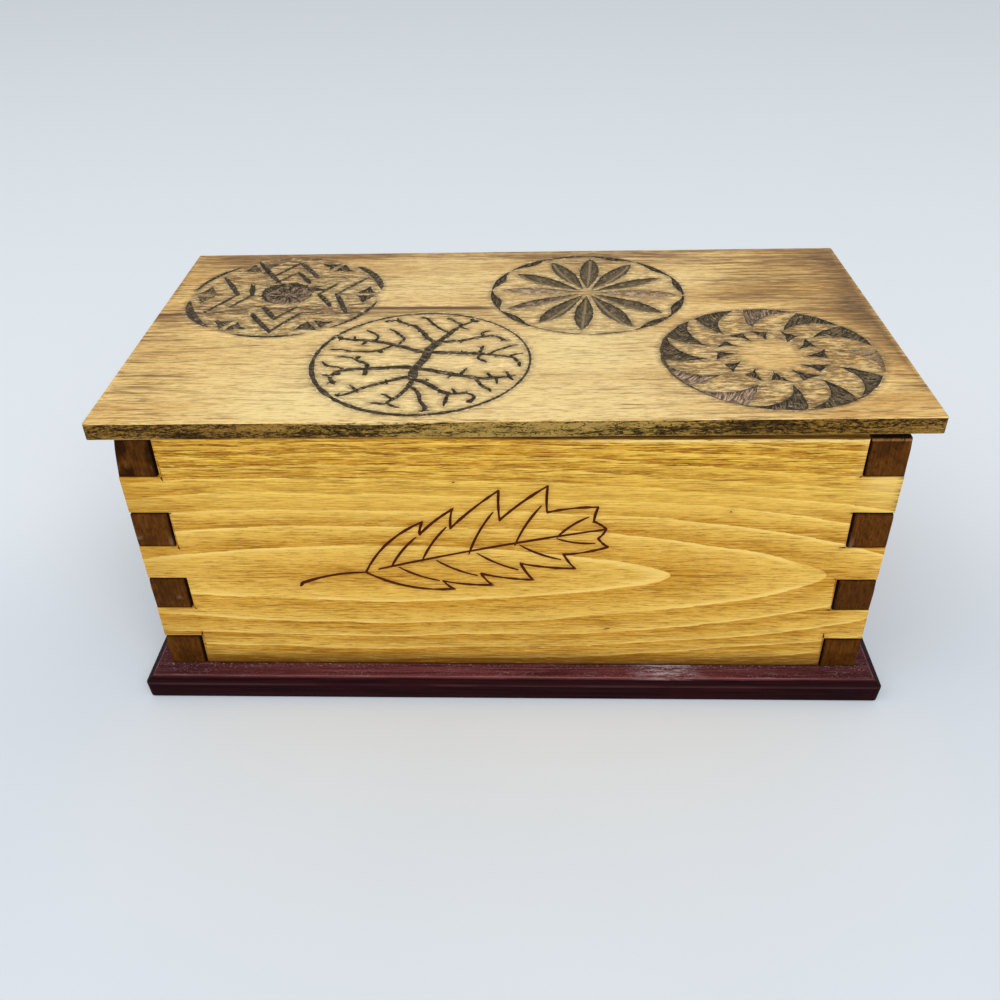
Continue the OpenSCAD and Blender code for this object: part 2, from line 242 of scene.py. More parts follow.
def lid_wood(name, edge=False):
    """Honey-stained pine with brown streaks and blotches, and the soot and scorch of its carving."""
    net = Net(name)
    x, y, z = net.xyz
    coat, noise = net.coat, net.noise
    broad = noise((95, 9, 9), 4, 3, 0.5)
    cloud = noise((34, 7, 7), 2.5, 4, 0.6)
    streak = flecks(net, 13, 0.7, 5, 0.49, 0.63)
    tick = flecks(net, 3.2, 0.6, 25, 0.53, 0.64)
    finer = noise((6, 0.5, 0.4), 9, 3, 0.7)
    net.colour = net.mix(broad.rise(0.34, 0.62), rgb(221, 175, 102), rgb(248, 211, 139))
    lightened = net.attribute("lightened")
    coat(lightened * 0.8, 255, 226, 156)
    coat(streak * (0.16 + 0.5 * cloud.rise(0.38, 0.62)) * (1 - lightened * 0.5), 164, 118, 58)
    coat(tick * 0.46 * (1 - lightened * 0.3), 148, 108, 54)
    coat(finer.rise(0.53, 0.65) * 0.6 * (1 - lightened * 0.25), 154, 108, 52)
    coat(finer.rise(0.46, 0.35) * 0.55, 255, 233, 172)
    ends = (x + 4).size().rise(45, 112)
    coat(ends, 255, 250, 235, "MULTIPLY")
    if edge:
        scrape = noise((2.4, 1.2, 0.55), 14, 5, 0.8)
        speck = noise((1, 0.7, 0.5), 19, 3, 0.7)
        blot = noise((26, 8, 3.5), 17, 4, 0.65)
        net.colour = net.mix(scrape.rise(0.42, 0.55), rgb(170, 136, 62), rgb(52, 36, 6))
        coat(blot.rise(0.52, 0.64) * 0.8, 184, 150, 78)
        coat(blot.rise(0.48, 0.38) * 0.75, 44, 28, 4)
        coat(speck.rise(0.54, 0.62) * 0.9, 22, 12, 0)
        coat((x - 6).size().rise(30, 82), 230, 214, 190, "MULTIPLY")
        wide = x.near(-38, 30) * 0.7
        arris = (z + wide).rise(LID_HIGH[2] - 0.5, LID_HIGH[2] - 0.15)
        under = z.rise(LID_LOW[2] + 0.6, LID_LOW[2] + 0.1) * blot.rise(0.36, 0.52) * 0.55
        coat(under, 176, 142, 88)
        coat(arris * scrape.rise(0.66, 0.4), 232, 200, 132)
        return net.finish(0.62, scrape, 0.00025, shine=0.1)
    thread = noise((36, 1.7, 1.7), 13, 4, 0.65)
    stain = net.attribute("stain") + cloud - 0.5 + (thread - 0.5) * 1.7 + (streak - 0.3) * 0.35
    coat(stain.rise(0.02, 0.8) * (0.62 + 0.38 * finer.rise(0.36, 0.56)), 142, 102, 54)
    blot = (noise((9, 1.8, 1.8), 11, 4, 0.7) + net.attribute("stain") * 0.2).rise(0.6, 0.78)
    coat(blot * stain.rise(0.3, 1.2) * 0.7, 88, 64, 38)
    wander = (noise((30, 30, 30), 7.5, 2) - 0.5) * 3
    line = y - 16.6 + wander + x.rise(-85, -125) * 4.5
    there = x.rise(6, -14) * noise((18, 1.1, 1.1), 3.3, 3).rise(0.15, 0.45)
    dark = line.rise(0.3, -0.2) * line.rise(-3.4, -0.8) + line.rise(-9, -2.5) * 0.35 * line.rise(0, -1)
    coat(dark.least(1) * there * 0.95, 108, 70, 38)
    burn, bare, near = net.attribute("burn"), net.attribute("bare"), net.attribute("near")
    along = net.attribute("stroke", "Vector")
    hatch = noise((3.4, 0.7, 1), 2, 5, 0.8, at=along, warp=0.25)
    rub = noise((2.2, 1.4, 1.4), 21, 4, 0.75)
    fray = noise((2.6, 0.8, 0.8), 41, 4, 0.75)
    wood = net.colour
    net.colour = net.mix(hatch.rise(0.46, 0.6), rgb(46, 38, 24), rgb(134, 117, 88))
    coat(rub.rise(0.48, 0.64) * 0.5, 112, 84, 52)
    coat(fray.rise(0.57, 0.68) * 0.75, 204, 182, 150)
    pale = net.mix(hatch.rise(0.44, 0.58), rgb(104, 82, 62), rgb(212, 180, 152))
    vein, lip, smudge = net.attribute("vein"), net.attribute("lip"), net.attribute("smudge")
    coat(vein * 0.3, 122, 106, 78)
    net.colour = net.mix(bare, net.colour, pale)
    side = net.add("SeparateXYZ", {0: along}, out=1).size()
    coat(side.rise(0.75, 0.1) * vein * rub.rise(0.25, 0.5) * 0.62, 176, 152, 112)
    coat(lip * rub.rise(0.7, 0.42) * 0.95, 34, 27, 16)
    coat(net.attribute("drawn") * fray.rise(0.62, 0.4) * 0.72, 46, 36, 20)
    soot, net.colour = net.colour, wood
    halo = near.power(0.6) * rub.rise(0.31, 0.6)
    net.colour = net.mix(smudge.rise(0.02, 0.25), net.colour, (1.17, 1.18, 1.22, 1), "MULTIPLY")
    coat(smudge * noise((5, 1.6, 1.6), 25, 5, 0.75).rise(0.39, 0.55) * 0.82, 106, 77, 42)
    coat(smudge * noise((7, 1.8, 1.8), 35, 4, 0.7).rise(0.5, 0.62) * 0.62, 252, 220, 156)
    coat(halo * 0.66, 80, 62, 40)
    coat(near.rise(0.06, 0.4) * fray.rise(0.56, 0.64) * 0.8, 252, 230, 180)
    net.colour = net.mix(burn * rub.rise(0.1, 0.3), net.colour, soot)
    height = streak * -0.5 + finer * 0.5 + hatch * burn * 2
    return net.finish(0.46 + streak * 0.12 + burn * 0.25, height, 0.00008, shine=0.22)


def walnut(name):
    """Dark hardwood sides whose finger ends are scratched upright and blackened round their edges."""
    net = Net(name)
    x, y, z = net.xyz
    coat, noise = net.coat, net.noise
    away = ((x - 60).power(2) + (z - 20).power(2)).root()
    ring = ((away + noise((18, 60, 18), 1, 3) * 5) / 2.6).part()
    stripe = noise((0.55, 9, 7), 4, 4, 0.65)
    pore = noise((0.4, 8, 1.8), 14, 2, 0.6).rise(0.55, 0.72)
    cloud = noise((9, 40, 7), 2, 4, 0.6)
    long = y.size().rise(59.9, 59.3)       # the faces along the board, where its grain runs with Y
    line = noise((2.5, 38, 0.75), 24, 5, 0.62, warp=0.15)
    vessel = noise((0.8, 5, 0.3), 36, 3, 0.6).rise(0.56, 0.66)
    figure = noise((12, 60, 6.5), 28, 3, 0.55)
    net.colour = net.mix(ring.rise(0.1, 0.9) * 0.5, rgb(86, 46, 10), rgb(100, 58, 14))
    coat(stripe.rise(0.42, 0.68) * 0.7 * (1 - long), 112, 70, 24)
    coat(cloud.rise(0.42, 0.68) * (0.7 - long * 0.45), 58, 30, 8)
    coat(pore * 0.6 * (1 - long), 42, 21, 5)
    coat(long * figure.rise(0.42, 0.6) * 0.55, 60, 33, 14)
    coat(long * line.rise(0.5, 0.64) * 0.6, 50, 26, 9)
    coat(long * line.rise(0.46, 0.34) * 0.5, 132, 84, 40)
    coat(long * vessel * 0.65, 34, 17, 6)
    end = y.rise(-58.9, -59.5)
    # Painted shade: the top finger end of the left side is darkened and mottled, where the lid's shadow falls
    # on it.
    lid_shade = end * x.rise(0, -10) * z.rise(TOP - 16, TOP - 12)
    coat(lid_shade * noise((7, 8, 9), 47, 2, 0.5).rise(0.62, 0.4) * 0.85, 30, 9, 0)
    coat(end * x.rise(0, 10) * z.near(38, 8).least(0.3), 24, 12, 4)
    rim = x.size().rise(103.6, 102.7)
    for k in range(FINGERS + 1):
        rim = rim.most(z.near(TOP - finger_line(k), 0.95))
    rim = rim * noise((2, 2, 2), 31, 3, 0.7).rise(0.26, 0.52)
    coat(rim * end * 0.85, 22, 12, 6)
    # Painted shadow: the top of the board near the front is black, where the gap under the lid is in shade.
    # Painted highlight: the pale line along the top arris of the right-hand finger end is the arris catching
    # the light.
    ledge = z.rise(TOP - 0.25, TOP - 0.05)
    lightened = z.near(TOP - 0.75, 0.65) * x.rise(0, 20) * stripe.rise(0.3, 0.55)
    coat(lightened * end * 0.75, 176, 122, 66)
    coat(ledge * y.rise(-57.6, -58.8) * 0.9, 16, 8, 4)
    dust = noise((0.7, 2.4, 3.2), 6, 4, 0.75).rise(0.6, 0.8)
    coat(dust * end * 0.4, 140, 104, 70)
    for across, up, wide, tall in ((-103.6, 78, 1.1, 2.2), (-113.4, 61.2, 2, 1.3), (-103.6, 58.9, 1.1, 3.6),
                                   (103.6, 58.9, 0.9, 4), (-106, 37, 1.2, 1.2)):
        scuff = x.near(across, wide) * z.near(up, tall) * (cloud + dust * 0.2).rise(0.36, 0.5)
        coat(scuff * end * 0.5, 134, 108, 84)
    return net.finish(0.5 + pore * 0.2, stripe * 0.8 - pore, 0.00012, shine=0.03)


def purpleheart(name):
    """Dark maroon hardwood with a dull sheen, and pale dust and scuffs along its top edge. Its chamfer and
    sides are painted a near-black copy of the wood as painted shade, and a painted highlight runs along its
    top arris.
    """
    net = Net(name)
    x, y, z = net.xyz
    coat, noise = net.coat, net.noise
    grain = noise((26, 0.8, 0.8), 1, 4, 0.6)
    cloud = noise((40, 6, 6), 3, 3)
    net.colour = net.mix(grain.rise(0.35, 0.68), rgb(111, 58, 59), rgb(67, 29, 31))
    coat(cloud.rise(0.4, 0.7) * 0.5, 92, 48, 49)
    coat(y.near(BASE_LOW[1] + 3.7, 1.2) * 0.4, 58, 20, 22)
    coat(x.size().rise(62, 110) * 0.5, 50, 20, 24)
    top = z.rise(BASE_TOP - 0.3, BASE_TOP - 0.02)
    # Painted shade: below the top, the chamfer and the sides are a near-black copy of the wood.
    slope = z.rise(BASE_TOP - 0.2, BASE_TOP - 0.7)
    bevel = net.mix(grain.rise(0.42, 0.62), rgb(30, 1, 6), rgb(16, 0, 2))
    net.colour = net.mix(slope * 0.93, net.colour, bevel)
    joint = (y - FRONT_LOW[1]).size().rise(2.4, 0)
    # Painted highlight: a pale line along the top arris, and a faint one along the chamfer's lower edge.
    edge = (z.near(BASE_TOP - 1.9, 0.5) * 0.2).most(z.near(BASE_TOP - 0.15, 0.14))
    scuff = noise((7.5, 0.6, 0.7), 5, 4, 0.75).rise(0.54, 0.68)
    dust = noise((0.9, 0.7, 0.7), 8, 4, 0.8).rise(0.54, 0.68)
    patch = noise((30, 7, 7), 12, 2).rise(0.42, 0.66)
    spot = x.near(52, 15)
    coat(dust * top * (joint * 0.7 + patch * 0.4 + spot * 0.9 + 0.14), 168, 142, 142)
    coat(edge * (grain + patch * 0.3).rise(0.3, 0.7) * 0.6, 160, 104, 110)
    coat(scuff * (patch * 0.3 + 0.12) * (1 - slope), 160, 132, 134)
    smear = noise((9, 1.3, 1.3), 15, 5, 0.75).rise(0.44, 0.62)
    coat(smear * spot * (1 - slope) * 0.8, 190, 174, 180)
    rough = 0.34 + grain.rise(0.3, 0.7) * 0.12 + dust * 0.2
    return net.finish(rough, grain * 0.6 + scuff * 0.4, 0.00007, shine=0.05)


def metal(name, tone, dark, along=(9, 0.18, 0.18)):
    net = Net(name)
    brush = net.noise(along, 2, 3, 0.6)
    tarnish = net.noise((3, 3, 3), 5, 4, 0.65).rise(0.42, 0.66)
    net.colour = net.mix(tarnish * 0.7, tone, dark)
    net.colour = net.mix(brush.rise(0.4, 0.7) * 0.25, net.colour, dark)
    return net.finish(0.28 + tarnish * 0.2 + brush * 0.1, brush, 0.00002, metallic=1)


# Shapes

def inside(points, loop):
    """Which points lie inside a closed loop."""
    x, y = points[:, 0], points[:, 1]
    hit = np.zeros(len(points), bool)
    for (x1, y1), (x2, y2) in zip(loop, np.roll(loop, -1, 0)):
        crosses = (y1 > y) != (y2 > y)
        hit ^= crosses & (x < (x2 - x1) * (y - y1) / ((y2 - y1) or 1e-12) + x1)
    return hit


def to_path(points, path, closed=False):
    """Each point's distance to a path, and how far along the path, in segments, its nearest place is."""
    path = np.asarray(path, float)
    ends = np.roll(path, -1, 0) if closed else path[1:]
    starts = path if closed else path[:-1]
    best = np.full(len(points), 1e9)
    where = np.zeros(len(points))
    for i, (a, b) in enumerate(zip(starts, ends)):
        step = b - a
        t = np.clip(((points - a) @ step) / max(step @ step, 1e-12), 0, 1)
        gap = np.hypot(*(points - a - t[:, None] * step).T)
        better = gap < best
        best[better] = gap[better]
        where[better] = i + t[better]
    return best, where


def between(points, low, high):
    """Which points lie in a box, as indices."""
    return np.flatnonzero(((points >= low) & (points <= high)).all(1))


class Chip:
    """A closed knife cut: its floor falls away from its edge at a slope, down to a depth."""

    drawn, outlined = 0.0, 1.0

    def __init__(self, loop, depth=1.1, slope=0.7, burn=1.0, bare=0.0, vein=0.0, axis=0.0, origin=None,
                 grid=0.6, chatter=0.06, ragged=0.0):
        self.loop = np.asarray(loop, float) + draw(-ragged, ragged, (len(loop), 2))
        self.depth, self.slope, self.grid, self.chatter = depth, slope, grid, chatter
        self.burn, self.bare, self.vein = burn, bare, vein
        self.origin = self.loop.mean(0) if origin is None else np.asarray(origin, float)
        self.axis = axis

    def seeds(self):
        low, high = self.loop.min(0), self.loop.max(0)
        u, v = np.meshgrid(np.arange(low[0], high[0], self.grid), np.arange(low[1], high[1], self.grid))
        points = np.stack([u.ravel(), v.ravel()], 1) + draw(-0.15, 0.15, (u.size, 2)) * self.grid
        points = points[inside(points, self.loop)]
        return points[to_path(points, self.loop, True)[0] > self.grid * 0.35]

    def edges(self):
        return [(self.loop, True)]

    def fall(self, points):
        depth = np.zeros(len(points))
        close = between(points, self.loop.min(0), self.loop.max(0))
        close = close[inside(points[close], self.loop)]
        if len(close):
            depth[close] = np.minimum(to_path(points[close], self.loop, True)[0] * self.slope, self.depth)
        return depth

    def stroke(self, points):
        turn = np.array([[cos(self.axis), -sin(self.axis)], [sin(self.axis), cos(self.axis)]])
        return (points - self.origin) @ turn


class Line:
    """A cut of varying width along a path, V-shaped in section."""

    drawn = 1.0

    def __init__(self, path, width, depth=0.5, burn=1.0, bare=0.0, ragged=0.0):
        self.path = np.asarray(path, float)
        width = np.broadcast_to(np.asarray(width, float), len(self.path)).copy()
        self.half = width / 2 * (1 + draw(-ragged, ragged, len(width)))
        self.depth, self.burn, self.bare, self.vein, self.chatter = depth, burn, bare, 0.0, 0.0
        step = np.gradient(self.path, axis=0)
        step /= np.maximum(np.hypot(*step.T), 1e-9)[:, None]
        self.side = np.stack([-step[:, 1], step[:, 0]], 1)

    def seeds(self):
        return np.zeros((0, 2))

    def edges(self):
        out = self.side * self.half[:, None]
        return [(np.vstack([self.path + out, (self.path - out)[::-1]]), True), (self.path, False)]

    def fall(self, points):
        depth = np.zeros(len(points))
        reach = self.half.max() + 0.01
        close = between(points, self.path.min(0) - reach, self.path.max(0) + reach)
        if len(close):
            gap, where = to_path(points[close], self.path)
            half = np.interp(where, np.arange(len(self.half)), self.half)
            share = np.clip(1 - gap / np.maximum(half, 1e-6), 0, 1)
            depth[close] = share * self.depth * half / self.half.max()
        return depth

    def stroke(self, points):
        return points


def thinned(points, gap=0.02):
    """A closed or open run of points without those that nearly meet."""
    kept = [points[0]]
    for p in points[1:]:
        if np.hypot(*(p - kept[-1])) > gap:
            kept.append(p)
    return np.array(kept)


def triangulate(groups):
    """Triangles over the plane that keep every group's edges. A group is (points, closed) or loose points."""
    points, edges = [], []
    for run, closed in groups:
        first = len(points)
        points.extend(run)
        if closed is not None:
            edges += [(first + i, first + i + 1) for i in range(len(run) - 1)]
            if closed:
                edges.append((first + len(run) - 1, first))
    made = delaunay_2d_cdt([Vector(p) for p in points], edges, [], 0, 1e-5)
    where = {}
    for new, olds in enumerate(made[3]):
        for old in olds:
            where[old] = new
    return np.array([tuple(v) for v in made[0]]), np.array([tuple(f) for f in made[2]]), where


def cut_edge_gap(cut, points, reach):
    """Each point's distance to the nearest edge of a cut, up to a reach."""
    loop = cut.edges()[0][0]
    gap = np.full(len(points), reach)
    close = between(points, loop.min(0) - reach, loop.max(0) + reach)
    if len(close):
        gap[close] = np.minimum(to_path(points[close], loop, True)[0], reach)
    return gap


def stand(name, data):
    """Puts the data into the scene as an object."""
    made = bpy.data.objects.new(name, data)
    bpy.context.scene.collection.objects.link(made)
    return made


def plate(name, outline, low, high, place, top_profile, cuts=(), seeds=(), tones=None, flip=False,
          pocket=None, pocket_edges=(), low_profile=((0, 0.3), (0.3, 0))):
    """A closed board. outline(inset) gives its edge loop, counter-clockwise in the plane. Its two faces lie
    at low and high, eased at the rim by the profiles of (inset, drop), with cuts in the high face and a
    pocket in the low one. seeds are extra points of the high face, and tones are shares kept there for the
    material. place turns a row of (u, v, w) into the frame's x, y, z, and flip says that it mirrors."""
    def surface(profile, extra):
        rings = [outline(d) for d, _ in profile]
        flat, faces, where = triangulate([(ring, True) for ring in rings] + extra)
        faces = faces[inside(flat[faces].mean(1), rings[0])]
        gap = to_path(flat, rings[0], True)[0]
        drop = np.interp(gap, [d for d, _ in profile], [h for _, h in profile])
        return flat, faces, [where[i] for i in range(len(rings[0]))], drop

    extra = [(points, None) for points in seeds]
    for cut in cuts:
        extra += [(thinned(run), closed) for run, closed in cut.edges()]
        inner = cut.seeds()
        if len(inner):
            extra.append((inner, None))
    top, top_faces, top_rim, top_drop = surface(top_profile, extra)
    middle = top[top_faces].mean(1)
    depth, rough, near, lip = np.zeros((4, len(top)))
    kind = np.zeros((len(middle), 4))
    deepest = np.zeros(len(middle))
    stroke = np.zeros((len(top), 3))
    for cut in cuts:
        fall = cut.fall(top)
        rough[fall > depth] = cut.chatter
        depth = np.maximum(depth, fall)
        gap = cut_edge_gap(cut, top, 2.4)
        near = np.maximum(near, np.exp(-(gap / 0.9) ** 2) * cut.burn * (1 - 0.5 * cut.bare))
        if isinstance(cut, Chip):
            lip = np.maximum(lip, np.exp(-(gap / 0.62) ** 2) * cut.outlined)
        here = cut.fall(middle)
        chosen = here > np.maximum(deepest, 1e-4)
        deepest[chosen] = here[chosen]
        kind[chosen] = (cut.burn, cut.bare, cut.vein, cut.drawn)
        corners = np.unique(top_faces[chosen])
        stroke[corners, :2] = cut.stroke(top[corners])
    depth += rough * draw(-1, 1, len(top)) * (depth > 0.15)
    top_w = high - np.maximum(top_drop, depth)

    low_flat, low_faces, low_rim, low_drop = surface(low_profile, list(pocket_edges))
    low_w = low + low_drop
    if pocket:
        low_w = np.where(pocket(low_flat) > 0, low + pocket(low_flat), low_w)

    n = len(top)
    points = np.vstack([np.column_stack([top, top_w]), np.column_stack([low_flat, low_w])])
    walls = [(top_rim[j], top_rim[i], n + low_rim[i], n + low_rim[j])
             for i, j in zip(range(len(top_rim)), [*range(1, len(top_rim)), 0])]
    faces = [tuple(f) for f in top_faces] + [tuple(n + i for i in f[::-1]) for f in low_faces] + walls
    if flip:
        faces = [f[::-1] for f in faces]
    mesh = bpy.data.meshes.new(name)
    mesh.from_pydata((place(points) * 0.001).tolist(), [], faces)
    eased = np.concatenate([(top_drop[top_faces] > 1e-6).any(1), (low_drop[low_faces] > 1e-6).any(1),
                            np.ones(len(walls), bool)])
    mesh.polygons.foreach_set("use_smooth", eased)
    counts = [len(top_faces), len(low_faces), len(walls)]
    mesh.polygons.foreach_set("material_index", np.repeat([0, 2, 1], counts))

    def keep(key, values, domain="POINT", kind="FLOAT", field="value"):
        """Stores values of the high face, which comes first, with zeros for the rest."""
        full = np.zeros((len(faces if domain == "FACE" else points), *values.shape[1:]), np.float32)
        full[:len(values)] = values
        mesh.attributes.new(key, kind, domain).data.foreach_set(field, full.ravel())

    for key, values in zip(("burn", "bare", "vein", "drawn"), kind.T):
        keep(key, values, "FACE")
    keep("near", near)
    keep("lip", lip)
    for key, tone in (tones or {}).items():
        keep(key, tone(top))
    keep("stroke", stroke, kind="FLOAT_VECTOR", field="vector")
    mesh.set_sharp_from_angle(angle=radians(32))
    mesh.validate()
    return stand(name, mesh)


def lattice(low, high, step, keep=None):
    """Points spread evenly, with a little scatter."""
    u, v = np.meshgrid(np.arange(low[0], high[0], step), np.arange(low[1], high[1], step))
    points = np.column_stack([u.ravel(), v.ravel()])
    points = points + draw(-0.25, 0.25, points.shape) * step
    return points if keep is None else points[keep(points)]


def rounded(width, depth, radius, steps=5):
    """outline(inset) for a rectangle with round corners about the origin."""
    def outline(inset):
        r = max(radius - inset, 0.03)
        loop = []
        for qx, qy, turn in ((1, -1, -90), (1, 1, 0), (-1, 1, 90), (-1, -1, 180)):
            cx, cy = qx * (width / 2 - inset - r), qy * (depth / 2 - inset - r)
            for i in range(steps + 1):
                a = radians(turn + 90 * i / steps)
                loop.append((cx + r * cos(a), cy + r * sin(a)))
        return np.array(loop)
    return outline


def mitred(loop):
    """outline(inset) for any counter-clockwise loop whose corners aren't very sharp."""
    p = np.asarray(loop, float)

    def outline(inset):
        a, b = p - np.roll(p, 1, 0), np.roll(p, -1, 0) - p
        a /= np.hypot(*a.T)[:, None]
        b /= np.hypot(*b.T)[:, None]
        na, nb = np.stack([-a[:, 1], a[:, 0]], 1), np.stack([-b[:, 1], b[:, 0]], 1)
        return p + (na + nb) / (1 + (na * nb).sum(1))[:, None] * inset
    return outline


def polar(centre, r, angle):
    a = radians(angle)
    return np.array([centre[0] + r * cos(a), centre[1] + r * sin(a)])


def left(way):
    """A direction turned a quarter to the left."""
    return np.array([-way[1], way[0]])


def bow(a, b, bend, steps):
    """Points from a to b along an arc that bulges by bend to the left of the way."""
    a, b = np.asarray(a, float), np.asarray(b, float)
    t = np.linspace(0, 1, steps + 1)[:, None]
    side = left(b - a)
    side /= max(np.hypot(*side), 1e-9)
    return a + (b - a) * t + side * bend * 4 * t * (1 - t)


def arc(centre, r, start, end, steps):
    return np.array([polar(centre, r, start + (end - start) * i / steps) for i in range(steps + 1)])


def tapered(path, full, ends, depth, *more, **others):
    """A line that is full wide in its middle and a share of that at its ends."""
    t = np.linspace(0, 1, len(path))
    return Line(path, full * (ends + (1 - ends) * np.sin(np.pi * t) ** 0.55), depth, *more, **others)


# Chip-carved roundels: traditional knife patterns, drawn by rule

def around(*sides):
    """A loop from sides that each start where the one before ends."""
    return np.vstack([side[:-1] for side in sides])


def rosette(c, radius=33.6):
    """Twelve leaf-shaped petals in a ring of small lens cuts."""
    cuts = []
    for k in range(12):
        a = 24.5 + 30 * k + draw(-1.6, 1.6)
        flat = k in (5, 11)
        start, reach = 3.0, draw(29.4, 31.2)
        half = draw(3.2, 3.8) * (0.75 if k in (0, 6) else 1.0)
        t = np.linspace(0, 1, 22)
        wide = half * np.sin(np.pi * t ** 1.25) ** 0.8 * (1 + draw(-0.07, 0.07, 22))
        way = polar((0, 0), 1, a)
        side = left(way)
        spine = c + way * (start + (reach - start) * t)[:, None]
        loop = np.vstack([spine - side * wide[:, None], (spine + side * wide[:, None])[::-1][1:-1]])
        bare = 0.85 if flat else 0.4 if k == 6 else 0.0
        cuts.append(Chip(loop, 1.3, 0.62, burn=0.8 if flat else 1.0, bare=bare, vein=1.0, axis=radians(a),
                         origin=c, grid=0.5, ragged=0.08))
        lens = 0.5 if k in (7, 8, 2) else draw(1.8, 2.8)
        s = np.linspace(0, 1, 15)
        lean = s ** draw(0.8, 1.3)
        outer = [polar(c, radius + 0.3 * sin(pi * x), a + 0.5 + 29 * x) for x in s]
        inner = [polar(c, radius - 0.45 - lens * sin(pi * w) ** 1.8, a + 0.5 + 29 * x)
                 for x, w in zip(s, lean)]
        cuts.append(Chip(np.vstack([outer, inner[::-1]]), 0.8, 0.8, burn=0.6 if k in (7, 8) else 1.0,
                         axis=radians(a + 105), grid=0.45, ragged=0.12))
    return cuts


def whirl(c, radius=33.4):
    """A turning ring of twelve curved three-cornered cuts round a smaller one."""
    cuts = [tapered(arc(c, radius + 0.2, start, end, 20), wide, 0.3, 0.35, 0.85, ragged=0.5)
            for start, end, wide in ((150, 262, 1.0), (268, 318, 0.7), (60, 100, 0.5))]
    for k in range(12):
        a = 6 + 30 * k + draw(-1.5, 1.5)
        wide = draw(24.5, 28.0)
        lead, trail = polar(c, radius, a), polar(c, radius + draw(-0.4, 0.3), a - wide)
        tip = polar(c, draw(18.8, 20.4), a + draw(1.0, 3.0))
        rim = bow(trail, lead, -draw(0.9, 1.5), 8)
        front = bow(lead, tip, draw(-1.2, -0.4), 6)
        back = bow(tip, trail, draw(2.6, 4.0), 10)
        bare = {7: 0.75, 8: 0.85, 0: 0.5, 3: 0.4}.get(k, 0.0)
        cuts.append(Chip(around(rim, front, back), 1.2, 0.55, bare=bare, burn=0.7 if k == 0 else 1.0,
                         axis=radians(a + 172), ragged=0.24))
        b = 10 + 30 * k + draw(-2, 2)
        r = 17.4 + draw(-0.7, 0.7)
        one, two, inner = polar(c, r - 0.8, b - 19), polar(c, r, b + 1), polar(c, draw(9.6, 11.2), b - 16)
        small = around(bow(one, two, 0.1, 5), bow(two, inner, 0.55, 6), bow(inner, one, 0.3, 5))
        cuts.append(Chip(small, 0.9, 0.7, axis=radians(b + 180), grid=0.45, ragged=0.2))
    return cuts


# Where a knife line of the star stops short of its corner, or runs past it: by corner, how far and how turned
STAR_SLIPS = {29.4: {0: (1.6, -1.7), 5: (-1.4, -3.0)}, 20.0: {2: (-2.6, -2.4)}}


